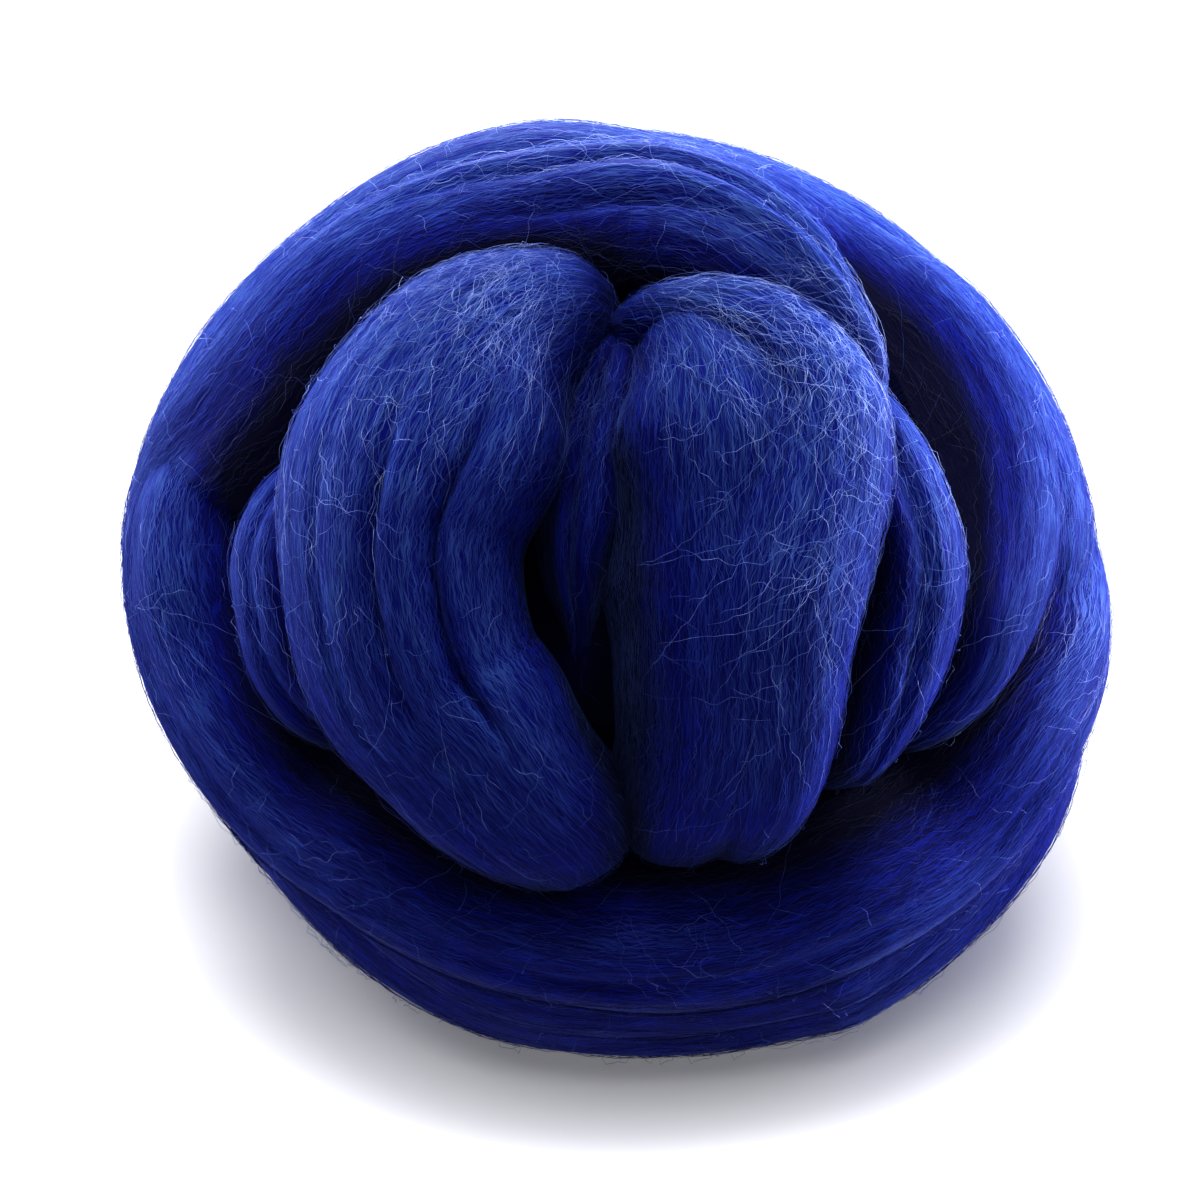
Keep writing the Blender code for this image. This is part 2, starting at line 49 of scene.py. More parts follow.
# the passes of the strand over the ball: each one's thickness in mm, its rows and its pleats
#   a row is one section: clock, degrees round the face from its right; lean, degrees away from the face's
#       middle; width, mm across; rise, mm that the crown stands over the ball's own surface; fall, mm that the
#       pass drops away towards its right as it runs, seen from outside, or towards its left below 0
#   a pleat is a trough along the pass: place across from -1 on the left to 1 on the right, depth in mm,
#       spread, and the share of the pass's length where it starts and ends
passes = {
    "leftLobe": {
        "thick": 34,
        "rows": (
            (82, 45, 14, -19, 0), (88, 43.5, 18, -10, 0), (99, 41, 25, -3, 0), (116, 37, 38, 1, 0),
            (140, 31.5, 45, 3, 0), (170, 27.8, 40.5, 3, 0), (-154, 27, 38.5, 2, 0),
            (-130, 28, 36, 1, 0), (-112, 31.5, 31, 0, 0), (-102, 36, 28, -3, 0),
            (-96, 43, 24, -9, 0), (-92, 50, 16, -18, 0),
        ),
        "pleats": (
            (-0.13, 2.4, 0.058, 0.3, 0.78), (-0.55, 2.8, 0.062, 0.26, 0.78),
            (0.26, 1.2, 0.07, 0.3, 0.7),
        ),
    },
    "rightLobe": {
        "thick": 34,
        "rows": (
            (84, 44, 10, -18, 0), (77, 38, 18, -7, 0), (67, 31, 27, -2, 3), (55, 23.5, 36, -0.5, 6),
            (36, 17, 37, -1.5, 9), (0, 14.5, 38, -1, 10), (-40, 18, 35, -1, 9),
            (-58, 25, 31, -2, 7), (-70, 33, 27, -4.5, 4), (-76, 41, 24, -10, 0),
            (-80, 50, 16, -18, 0),
        ),
        "pleats": (
            (0.3, 1, 0.12, 0.1, 0.7), (-0.35, 0.7, 0.12, 0.2, 0.8),
        ),
    },
    "rightLobeFold": {
        "thick": 28,
        "rows": (
            (97, 41, 10, -17, 0), (87, 38.5, 13, -8, 0), (73, 37.5, 17, -1.5, 5),
            (58, 36.5, 23, 1.5, 8), (44, 33, 27, 3, 8), (30, 27.5, 29, 3, 7), (14, 22.5, 28, 3, 7),
            (-5, 20, 28, 3, 7), (-25, 21.5, 27, 2, 6), (-43, 28, 24, 0, 4), (-55, 34.5, 20, -2, 0),
            (-64, 42, 15, -8, 0), (-70, 50, 12, -17, 0),
        ),
        "pleats": (
            (0.35, 0.8, 0.12, 0.2, 0.75),
        ),
    },
    "rightInnerLobe": {
        "thick": 30,
        "rows": (
            (54, 46, 12, -17, 0), (44, 43, 16, -8, 0), (34, 40.5, 21, -4, 3), (20, 39, 25, -2, 6),
            (4, 38.5, 26, -1, 7), (-10, 38.5, 26, -2, 7), (-25, 39, 22, -3, 4),
            (-38, 42, 16, -7, 0), (-50, 46, 12, -17, 0),
        ),
        "pleats": (
            (0, 1.2, 0.14, 0, 1),
        ),
    },
    "leftInnerLobe": {
        "thick": 28,
        "rows": (
            (146, 46, 14, -18, 0), (160, 46, 20, -8, 0), (173, 46, 23, -4, 0),
            (-175, 45, 23, -4, 0), (-164, 45, 22, -5, 0), (-152, 44, 20, -9, 0),
            (-140, 43, 14, -18, 0),
        ),
        "pleats": (
            (0, 1.2, 0.14, 0, 1),
        ),
    },
    "outerStrand": {
        "thick": 32,
        "rows": (
            (-176, 112, 16, -16, 0), (168, 105, 22, -5, 0), (152, 98, 26, -3, 0),
            (137, 94, 28, -2, 0), (120, 91, 29, 0, 0), (100, 88, 30, 0.5, 0), (82, 87, 33, -1.5, 3),
            (68, 84, 36, -1.5, 8), (55, 85, 31, -1.5, 16), (42, 78.5, 29, 0, 21),
            (26, 70.5, 27, 0.5, 21), (10, 62.5, 24, 0, 16), (-4, 56, 20, -1, 10),
            (-15, 54, 16, -4, 4), (-27, 52, 13, -10, 0), (-37, 52, 10, -18, 0),
        ),
        "pleats": (
            (-0.2, 1.2, 0.12, 0.05, 0.5), (-0.25, 1.2, 0.1, 0.62, 0.9),
        ),
    },
    "upperBand": {
        "thick": 36,
        "rows": (
            (-170, 112, 16, -18, 0), (-179, 100, 26, -5, 0), (176, 88, 32, -1, 4),
            (169, 77, 36, 0, 8), (161, 69, 38, 1, 14), (151, 64, 41, 1, 18), (138, 62, 42, 2, 20),
            (125, 62, 42, 2, 18), (112, 61, 41, 2, 16), (99, 59, 38, 2, 14), (85, 57.5, 34, 2.5, 9),
            (73, 53.5, 28, 3, 6), (61, 48.5, 22, 3, 4), (51, 45, 16, 1.5, 2), (41, 43, 12.5, -1, 0),
            (33, 42, 10, -5, 0), (25, 42, 7, -16, 0),
        ),
        "pleats": (
            (-0.15, 2.6, 0.11, 0.5, 0.97), (0.3, 2.4, 0.1, 0.58, 1), (-0.55, 1.6, 0.1, 0.1, 0.7),
            (0.1, 0.8, 0.2, 0.1, 0.5),
        ),
    },
    "rightEdgeStrand": {
        "thick": 26,
        "rows": (
            (84, 112, 16, -16, 0), (68, 106, 22, -5, 0), (54, 101, 24, -2.5, 0),
            (42, 96, 26, -1, 0), (29, 90, 28, -1.5, 0), (16, 85, 31, -1.5, 0), (4, 80, 31, -1.5, 0),
            (-8, 77, 25, -6, 0), (-18, 76, 16, -16, 0),
        ),
        "pleats": (),
    },
    "frontBelt": {
        "thick": 32,
        "rows": (
            (146, 80, 14, -18, 0), (157, 76, 20, -8, 0), (167, 73, 25, -2, 0), (178, 70, 27, -1, 0),
            (-170, 67, 27, -1, -3), (-157, 62.5, 26, -1, -5), (-144, 58.5, 27, -1, -6),
            (-130, 53, 29, 0, -7), (-112, 51, 30, 1, -7), (-92, 52, 31, 1, -5),
            (-70, 55, 32, 2, -7), (-52, 58, 33, 3, -9), (-36, 65, 32, 3, -9), (-20, 69, 29, 3, -6),
            (-8, 77, 26, 2, 0), (2, 86, 24, 0, 0), (11, 95, 22, -2, 0), (22, 105, 19, -6, 0),
            (36, 114, 14, -18, 0),
        ),
        "pleats": (
            (0, 1.2, 0.14, 0, 1),
        ),
    },
    "lowerBelt": {
        "thick": 34,
        "rows": (
            (124, 106, 18, -16, 0), (136, 100, 28, -6, 0), (148, 92, 33, -3, -3),
            (160, 86, 37, 0, -8), (174, 82, 40, -1, -15), (-170, 80, 42, -3.5, -17),
            (-155, 79, 44, -4.5, -14), (-140, 78, 45, -4.5, -7), (-124, 78, 46, -3, -3),
            (-106, 79, 48, -1, 0), (-86, 80, 50, 0, 0), (-68, 82, 48, 2, 0), (-60, 83, 47, 4, -1),
            (-46, 84, 45, 4, -3), (-28, 87, 42, 4.2, -5), (-12, 92, 38, 1, -5), (2, 99, 34, -3, 0),
            (14, 107, 27, -7, 0), (26, 116, 18, -16, 0),
        ),
        "pleats": (
            (-0.32, 1.6, 0.14, 0, 1), (0.32, 1.4, 0.14, 0, 1),
        ),
    },
    "underBelt": {
        "thick": 32,
        "rows": (
            (158, 118, 20, -16, 0), (172, 112, 38, -4, 0), (-172, 111, 46, -1, 0),
            (-152, 113, 54, 0, 0), (-128, 116, 58, 0, 0), (-90, 118, 62, 0, 0),
            (-55, 116, 58, 0, 0), (-30, 112, 50, 1, 0), (-12, 110, 40, 0, 0), (4, 110, 30, -4, 0),
            (16, 112, 18, -16, 0),
        ),
        "pleats": (),
    },
    "rearRim": {
        "thick": 30,
        "rows": (
            (-146, 104, 18, -16, 0), (-160, 101, 32, -4, 0), (-176, 99, 38, 0, 0),
            (168, 98, 43, 1, 0), (150, 98, 45, 1, 0), (125, 99, 46, 1, 0), (92, 99, 46, 1, 0),
            (62, 101, 45, 1, 0), (38, 104, 42, 1, 0), (18, 109, 38, 0, 0), (0, 116, 33, -1, 0),
            (-16, 123, 28, -4, 0), (-30, 130, 18, -16, 0),
        ),
        "pleats": (
            (0.32, 1.8, 0.14, 0, 1), (-0.32, 1.4, 0.14, 0, 1),
        ),
    },
    "backLeftLobe": {
        "thick": 30,
        "rows": (
            (104, 100, 20, -16, 0), (112, 112, 34, -5, 0), (127, 122, 43, 0, 0),
            (153, 129, 48, 1, 0), (-176, 130, 48, 1, 0), (-150, 127, 46, 0, 0),
            (-128, 119, 38, -2, 0), (-114, 108, 24, -16, 0),
        ),
        "pleats": (
            (0, 1.8, 0.14, 0, 1),
        ),
    },
    "backMiddleLobe": {
        "thick": 32,
        "rows": (
            (94, 102, 20, -16, 0), (97, 116, 36, -4, 0), (104, 136, 46, 0, 0), (128, 160, 50, 1, 0),
            (-140, 166, 50, 1, 0), (-108, 148, 46, 0, 0), (-100, 132, 40, -2, 0),
            (-96, 116, 24, -16, 0),
        ),
        "pleats": (
            (-0.32, 1.8, 0.14, 0, 1), (0.32, 1.5, 0.14, 0, 1),
        ),
    },
    "backRightLobe": {
        "thick": 30,
        "rows": (
            (78, 102, 20, -16, 0), (72, 116, 36, -3, 0), (56, 134, 46, 0, 0), (22, 147, 50, 1, 0),
            (-22, 150, 50, 1, 0), (-54, 140, 46, 0, 0), (-70, 126, 38, -2, 0),
            (-78, 112, 24, -16, 0),
        ),
        "pleats": (
            (0, 1.8, 0.14, 0, 1),
        ),
    },
    "backCrossBand": {
        "thick": 26,
        "rows": (
            (150, 102, 18, -15, 0), (150, 115, 28, -1, 0), (149, 134, 32, 3, 0),
            (144, 156, 34, 4, 0), (-40, 174, 34, 4, 0), (-36, 152, 32, 3, 0), (-36, 134, 30, 1, 0),
            (-36, 118, 20, -14, 0),
        ),
        "pleats": (
            (0, 1.4, 0.14, 0, 1),
        ),
    },
    "innerStrand": {
        "thick": 24,
        "rows": (
            (83, 45, 12, -17, 0), (87, 36, 18, -12, 0), (94, 24, 21, -12, 0), (106, 13, 22, -13, 0),
            (150, 5.5, 18, -14.5, 0), (-128, 7, 12, -17, 0), (-108, 14, 8, -20, 0),
            (-100, 22, 7, -24, 0),
        ),
        "pleats": (
            (0.1, 1.2, 0.12, 0.1, 0.9),
        ),
    },
}

# the mesh of the skin, in mm
skin = {
    "crownColumns": 72,      # faces across the half of a section that looks outwards
    "hiddenColumns": 6,      # and across the half that is sunk in the ball
    "stepsPerRow": 20,       # of the smooth path, from each row to the next
    "ringSpacing": 2.4,
    "power": 2.1,            # 2 makes the section an ellipse, and more makes it squarer
    "noseLength": 14,        # over which the pass rounds down to its end
    "tip": 0.12,             # share of the section that is left there
    "sharpAngle": 60,        # degrees
    "coreSides": (64, 32),
}

# the soft unevenness of the skin, in mm unless it says otherwise
relief = {
    # clumps of fibre that lie along the strand: pitch across, length along and height
    "clumps": ((12.0, 60.0, 0.40), (4.4, 60.0, 0.32), (2.0, 38.0, 0.17), (1.05, 24.0, 0.09)),
    "clumpBend": 0.25,       # of a pitch, sideways
    "bendLength": (16, 8),
    "edgeWobble": 0.05,      # of the width
    "wobbleLength": 14,
    "pleatWander": 0.05,     # of half the width, sideways
    "wanderLength": 22,
    "pleatDepth": (1.15, 0.45),     # times its own depth, and how much that changes along it
    "depthLength": 18,
    "pleatSpread": 0.75,     # times its own spread
    "pleatPower": 1.5,
    "pleatFade": 0.15,       # of the pass's length, at each end of the pleat
}

# the noise's grid of random values, and what each pattern adds to a pass's number to make its seed
noise = {"cells": (97, 89), "start": 1000, "wander": 50, "depth": 70, "bend": 31, "wobble": 11}


def hexToLinear(code):
    parts = [int(code[i:i + 2], 16) / 255 for i in (1, 3, 5)]
    return tuple(p / 12.92 if p <= 0.04045 else ((p + 0.055) / 1.055) ** 2.4 for p in parts) + (1,)


def direction(clock, lean):
    clock, lean = np.radians(clock), np.radians(lean)
    return np.stack([np.cos(clock) * np.sin(lean), np.sin(clock) * np.sin(lean), np.cos(lean)], -1)


def normalised(vectors):
    return vectors / np.maximum(np.linalg.norm(vectors, axis=-1, keepdims=True), 1e-12)


def ballRadius(directions):
    half = np.array([ball["width"], ball["rise"], ball["depth"]]) / 2
    return 1 / np.linalg.norm(directions / half, axis=-1)


# from mm in the face's own right, up and out to metres in the world
def toWorld(points):
    turn = math.pi / 2 - math.radians(ball["tilt"])
    x, y, z = np.moveaxis(points, -1, 0)
    turned = np.stack([x, y * math.cos(turn) - z * math.sin(turn), y * math.sin(turn) + z * math.cos(turn)], -1)
    return (turned + np.array(ball["middle"])) * mm


# a Catmull-Rom curve through the knots
def smoothCurve(knots, steps):
    ends = np.vstack([2 * knots[0] - knots[1], knots, 2 * knots[-1] - knots[-2]])
    curve = []
    for before, start, end, after in zip(ends, ends[1:], ends[2:], ends[3:]):
        for t in np.linspace(0, 1, steps, endpoint=False):
            curve.append(0.5 * (2 * start + (end - before) * t
                                + (2 * before - 5 * start + 4 * end - after) * t ** 2
                                + (3 * start - before - 3 * end + after) * t ** 3))
    curve.append(knots[-1])
    return np.array(curve)


def evenlySpaced(curve, spacing):
    travelled = np.linalg.norm(np.diff(curve[:, :3], axis=0), axis=1).cumsum()
    travelled = np.concatenate([[0], travelled])
    even = np.linspace(0, travelled[-1], 1 + round(travelled[-1] / spacing))
    return even, np.stack([np.interp(even, travelled, column) for column in curve.T], 1)


# smooth noise from -1 to 1, read from a grid of random values
def softNoise(x, y, seed):
    rows, columns = noise["cells"]
    grid = np.random.default_rng(seed).uniform(-1, 1, noise["cells"])
    x, y = np.asarray(x, float) + noise["start"], np.asarray(y, float) + noise["start"]
    i, j = np.floor(x).astype(int), np.floor(y).astype(int)
    u, v = x - i, y - j
    u, v = u * u * (3 - 2 * u), v * v * (3 - 2 * v)
    a, b = grid[i % rows, j % columns], grid[(i + 1) % rows, j % columns]
    c, d = grid[i % rows, (j + 1) % columns], grid[(i + 1) % rows, (j + 1) % columns]
    return (a * (1 - u) + b * u) * (1 - v) + (c * (1 - u) + d * u) * v


# across and height from -1 to 1 of each column of the section, the crown's columns first
def sectionShape():
    turn = np.concatenate([np.linspace(0, math.pi, skin["crownColumns"], endpoint=False),
                           np.linspace(math.pi, 2 * math.pi, skin["hiddenColumns"], endpoint=False)])
    power = 2 / skin["power"]
    across = np.sign(np.cos(turn)) * np.abs(np.cos(turn)) ** power
    height = np.sign(np.sin(turn)) * np.abs(np.sin(turn)) ** power
    return across, height


# the crown's height once the pleats are pressed into it, less deep where the pass is narrower
def pressPleats(lift, pleats, travelled, across, crown, narrower, seed):
    share = travelled / travelled[-1]
    level = np.zeros_like(travelled)
    usual, change = relief["pleatDepth"]
    for k, (place, depth, spread, start, end) in enumerate(pleats):
        bends = softNoise(travelled / relief["wanderLength"], level, seed + noise["wander"] + k)
        wander = relief["pleatWander"] * bends
        uneven = usual + change * softNoise(travelled / relief["depthLength"], level + 7, seed + noise["depth"] + k)
        off = np.abs((across - place - wander) / (spread * relief["pleatSpread"]))
        trough = np.exp(-off ** relief["pleatPower"]) * crown
        fade = (np.clip((share - start) / relief["pleatFade"], 0, 1)
                * np.clip((end - share) / relief["pleatFade"], 0, 1))
        lift = lift - depth * uneven * trough * fade * narrower
    return lift


# each pass's place in v starts this many mm after the one before, so that a uv tells which pass it is on
uvStep = 200


# rings of points for one pass in metres, its uv along and across the strand in metres, and how far the fall has
# sunk each point in mm
def passGrid(sizes, seed):
    clock, lean, width, rise, fall = np.array(sizes["rows"], float).T
    middle = direction(clock, lean)
    knots = np.column_stack([middle * ballRadius(middle)[:, None], width, rise, fall])
    travelled, curve = evenlySpaced(smoothCurve(knots, skin["stepsPerRow"]), skin["ringSpacing"])
    middle, width, rise, fall = normalised(curve[:, :3]), curve[:, 3], curve[:, 4], curve[:, 5]
    along = normalised(np.gradient(middle, axis=0))
    side = normalised(np.cross(along, middle))[:, None, :]
    fromTip = np.clip(np.minimum(travelled, travelled[-1] - travelled) / skin["noseLength"], 0, 1)
    taper = np.maximum(np.sqrt(1 - (1 - fromTip) ** 2), skin["tip"])[:, None]

    across, height = sectionShape()
    crown = np.clip(height, 0, 1)
    faded = crown ** 0.5     # what a fall and the clumps do dies away at the sides
    s, a = travelled[:, None], across[None, :]
    v = a * width.max() / 2
    lift = height * sizes["thick"] / 2 * taper
    sunk = np.abs(fall[:, None]) * (0.5 + 0.5 * across * np.sign(fall[:, None])) ** 2
    lift = lift - sunk * faded
    lift = pressPleats(lift, sizes["pleats"], s, a, crown, (width / width.max())[:, None], seed)
    bendAlong, bendAcross = relief["bendLength"]
    for k, (pitch, length, high) in enumerate(relief["clumps"]):
        bent = v / pitch + relief["clumpBend"] * softNoise(s / bendAlong, v / bendAcross, seed + noise["bend"])
        lift = lift + high * softNoise(s / length, bent, seed + k) * faded
    # the two sides waver each in its own way
    waver = softNoise(s / relief["wobbleLength"], np.sign(a) * 3, seed + noise["wobble"])
    wobble = 1 + relief["edgeWobble"] * waver

    swing = across * (width[:, None] / 2 * taper * wobble) / ballRadius(middle)[:, None]
    outward = middle[:, None, :] * np.cos(swing)[..., None] + side * np.sin(swing)[..., None]
    reach = ballRadius(outward) + rise[:, None] - sizes["thick"] / 2 + lift
    points = toWorld(outward * reach[..., None])
    uv = np.stack(np.broadcast_arrays(s * mm, (v + uvStep * seed) * mm), -1)
    return points, uv, sunk


# a closed tube of the rings, with its uv
def gridMesh(name, points, uv):
    rings, columns = points.shape[:2]
    at = np.arange(rings * columns).reshape(rings, columns)
    after = np.roll(at, -1, axis=1)
    quads = np.stack([at[:-1], at[1:], after[1:], after[:-1]], -1).reshape(-1, 4)
    around = np.concatenate([uv, uv[:, :1]], 1)
    corners = np.stack([around[:-1, :-1], around[1:, :-1], around[1:, 1:], around[:-1, 1:]], 2).reshape(-1, 2)
    faces = [tuple(q) for q in quads.tolist()] + [tuple(at[0].tolist()), tuple(at[-1][::-1].tolist())]
    mesh = bpy.data.meshes.new(name)
    mesh.from_pydata(points.reshape(-1, 3).tolist(), [], faces)
    layer = mesh.uv_layers.new(name="strand")
    flat = np.concatenate([corners, uv[0], uv[-1][::-1]])
    layer.uv.foreach_set("vector", flat.astype(np.float32).ravel())
    mesh.update()
    return mesh


def meshObject(name, mesh, collection=None):
    placed = bpy.data.objects.new(name, mesh)
    (collection or bpy.context.scene.collection).objects.link(placed)
    return placed


# the windings underneath, as one plain ball that every pass sinks into
def coreMesh():
    core = bmesh.new()
    across, down = skin["coreSides"]
    bmesh.ops.create_uvsphere(core, u_segments=across, v_segments=down, radius=1)
    half = [ball[key] / 2 - ball["coreDepth"] for key in ("width", "rise", "depth")]
    for vert in core.verts:
        vert.co = Vector(toWorld(np.array([c * h for c, h in zip(vert.co, half)])))
    mesh = bpy.data.meshes.new("core")
    core.to_mesh(mesh)
    core.free()
    mesh.uv_layers.new(name="strand")
    return mesh


# a block whose top face is the floor
def floorBlock():
    size = 0.6               # m, well past the ball's sides
    block = bmesh.new()
    bmesh.ops.create_cube(block, size=size)
    bmesh.ops.translate(block, verts=block.verts, vec=(0, 0, -size / 2))
    mesh = bpy.data.meshes.new("block")
    block.to_mesh(mesh)
    block.free()
    return meshObject("block", mesh)


def addBoolean(target, kind, **operand):
    change = target.modifiers.new(kind.lower(), "BOOLEAN")
    change.operation = kind
    change.solver = "MANIFOLD"
    for key, value in operand.items():
        setattr(change, key, value)


# true for each vertex of the largest shell, so without the pockets that the passes close off inside
def onOuterShell(mesh):
    edges = np.zeros(len(mesh.edges) * 2, int)
    mesh.edges.foreach_get("vertices", edges)
    a, b = edges.reshape(-1, 2).T
    label = np.arange(len(mesh.vertices))
    settled = False
    while not settled:
        low = np.minimum(label[a], label[b])
        lower = label.copy()
        np.minimum.at(lower, a, low)
        np.minimum.at(lower, b, low)
        lower = lower[lower]
        settled = (lower == label).all()
        label = lower
    shells, sizes = np.unique(label, return_counts=True)
    return label == shells[sizes.argmax()]


# the passes joined to the core as one closed skin, pressed flat where it rests on the floor
def windSkin():
    operands = bpy.data.collections.new("passes")
    bpy.context.scene.collection.children.link(operands)
    grids = {name: passGrid(sizes, k) for k, (name, sizes) in enumerate(passes.items())}
    strands = [meshObject(name, gridMesh(name, *grid[:2]), operands) for name, grid in grids.items()]
    print("passes modelled:", len(strands), "faces", sum(len(strand.data.polygons) for strand in strands))

    whole = meshObject("rovingSkin", coreMesh())
    addBoolean(whole, "UNION", operand_type="COLLECTION", collection=operands)
    block = floorBlock()
    addBoolean(whole, "DIFFERENCE", object=block)
    bpy.context.view_layer.update()
    mesh = bpy.data.meshes.new_from_object(whole.evaluated_get(bpy.context.evaluated_depsgraph_get()))
    whole.modifiers.clear()
    whole.data = mesh
    for used in strands + [block]:
        bpy.data.objects.remove(used)
    bpy.data.collections.remove(operands)

    inside = np.nonzero(~onOuterShell(mesh))[0].tolist()
    joined = bmesh.new()
    joined.from_mesh(mesh)
    joined.verts.ensure_lookup_table()
    bmesh.ops.delete(joined, geom=[joined.verts[i] for i in inside], context="VERTS")
    bmesh.ops.triangulate(joined, faces=joined.faces)
    joined.to_mesh(mesh)
    joined.free()
    mesh.shade_smooth()
    mesh.set_sharp_from_angle(angle=math.radians(skin["sharpAngle"]))
    print("skin joined: triangles", len(mesh.polygons))
    return whole, grids


# a node with its settings, and each input given a value or a link, by name or as i and its number
def addNode(tree, kind, settings=None, **inputs):
    node = tree.nodes.new(kind)
    for key, value in (settings or {}).items():
        setattr(node, key, value)
    for key, value in inputs.items():
        numbered = key[0] == "i" and key[1:].isdigit()
        socket = node.inputs[int(key[1:]) if numbered else key.replace("_", " ")]
        if isinstance(value, bpy.types.NodeSocket):
            tree.links.new(value, socket)
        else:
            socket.default_value = value
    return node


def newMaterial(name):
    material = bpy.data.materials.new(name)
    material.use_nodes = True
    material.node_tree.nodes.clear()
    return material, material.node_tree


def addNoise(tree, place, scale, detail, dimensions="2D"):
    return addNode(tree, "ShaderNodeTexNoise", {"noise_dimensions": dimensions},
                   Vector=place, Scale=scale, Detail=detail, Roughness=0.5).outputs[0]


def mixColour(tree, amount, low, high):
    return addNode(tree, "ShaderNodeMix", {"data_type": "RGBA"}, Factor=amount, i6=low, i7=high).outputs[2]


def mapRange(tree, value, low, high, toLow=0.0, toHigh=1.0, kind="LINEAR"):
    return addNode(tree, "ShaderNodeMapRange", {"interpolation_type": kind}, Value=value,
                   From_Min=low, From_Max=high, To_Min=toLow, To_Max=toHigh).outputs[0]


# how open each point of the skin is to the light, from 0 in a crevice to 1 on a crown; the wool's colours are
# painted with it, as painted shade in crevices, valleys and undersides and painted light on crowns
shade = {
    "rays": 14,              # cast from each point
    "quickRays": 5,
    "reach": 34,             # mm, past which nothing shades it
    "start": 0.5,            # mm off the skin
    # painted shade: light from below counts for this share only, so the undersides are painted darker
    "fromBelow": 0.42,       # share of the light that comes from below
    # painted shade in the valleys: a pass's falling side is painted darker for each mm it falls past valleyStart
    "valleyStart": 2,        # mm that a pass falls away before the valley darkens it
    "valleyShade": 0.055,    # openness lost for each mm past that
    "smoothing": (6, 0.6),   # rounds, and how far each goes towards the mean of a point's neighbours
    # openness that is as dark as it gets, that of a flank and that of a crown
    "dark": 0.36,
    "half": 0.64,
    "light": 0.96,
    # the colour of the painted shade at its darkest, in the deepest crevices
    "darkest": "#00002a",
}


# a colour from low to high by amount, painted by openness: painted shade makes it deep blue low in the winding and
# darkest in crevices, and painted light makes it paler on its crowns
def shadedColour(tree, amount, deep, crown):
    openness = addNode(tree, "ShaderNodeAttribute", {"attribute_name": "openness"}).outputs["Fac"]
    flank, top = [mixColour(tree, amount, hexToLinear(low), hexToLinear(high)) for low, high in (deep, crown)]
    lit = mixColour(tree, mapRange(tree, openness, shade["half"], shade["light"]), flank, top)
    clear = mapRange(tree, openness, shade["dark"], shade["half"])
    return mixColour(tree, clear, hexToLinear(shade["darkest"]), lit)


combed = {
    # layers of fibre: slant, pitch across and length in mm, crimp in mm, and where its pattern starts
    "layers": ((0.0, 0.18, 9.0, 0.40, 0), (0.10, 0.21, 8.0, 0.5, 5), (-0.09, 0.20, 7.0, 0.5, 11)),
    "crimpLength": (3.4, 2.2),      # mm along and across
    "lines": (0.50, 0.72),          # of the noise, where a fibre starts and where it is at its palest
    "lockSize": (30, 1.7),          # mm along and across
    "locks": (0.3, 0.7),
    "thinLock": 0.7,                # how pale its fibres are beside a thick one's
    # shaded and lit copies of the skin's colours, each from ground to fibre: deep is painted shade low in the
    # winding, crown is painted light on the crowns
    "deep": ("#000254", "#051990"),
    "crown": ("#041480", "#4a6aac"),
    "roughness": 0.75,
    "specular": 0.08,
    "sheen": 0.2,
    "sheenRoughness": 0.3,
    "sheenTint": "#6c94ff",
    "lockBump": (0.6, 0.5 * mm),
    "fibreBump": (0.7, 0.2 * mm),
}


# one layer of the fibres that the skin is drawn with: thin crimped lines along the strand
def fibreLines(tree, place, slant, pitch, length, crimp, start):
    along, across = combed["crimpLength"]
    waved = addNode(tree, "ShaderNodeVectorMath", {"operation": "MULTIPLY_ADD"},
                    i0=place, i1=(1000 / along, 1000 / across, 0), i2=(start, start, 0)).outputs[0]
    wave = addNoise(tree, waved, 1.0, 1.0)
    split = addNode(tree, "ShaderNodeSeparateXYZ", i0=place)
    leaned = addNode(tree, "ShaderNodeMath", {"operation": "MULTIPLY_ADD"},
                     i0=split.outputs[0], i1=slant, i2=split.outputs[1]).outputs[0]
    crimped = addNode(tree, "ShaderNodeMath", {"operation": "MULTIPLY_ADD"},
                      i0=wave, i1=crimp * mm * 2, i2=leaned).outputs[0]
    joined = addNode(tree, "ShaderNodeCombineXYZ", i0=split.outputs[0], i1=crimped).outputs[0]
    scaled = addNode(tree, "ShaderNodeVectorMath", {"operation": "MULTIPLY_ADD"},
                     i0=joined, i1=(1000 / length, 1000 / pitch, 0), i2=(start, 3 * start, 0)).outputs[0]
    return mapRange(tree, addNoise(tree, scaled, 1.0, 2.0), *combed["lines"], kind="SMOOTHSTEP")
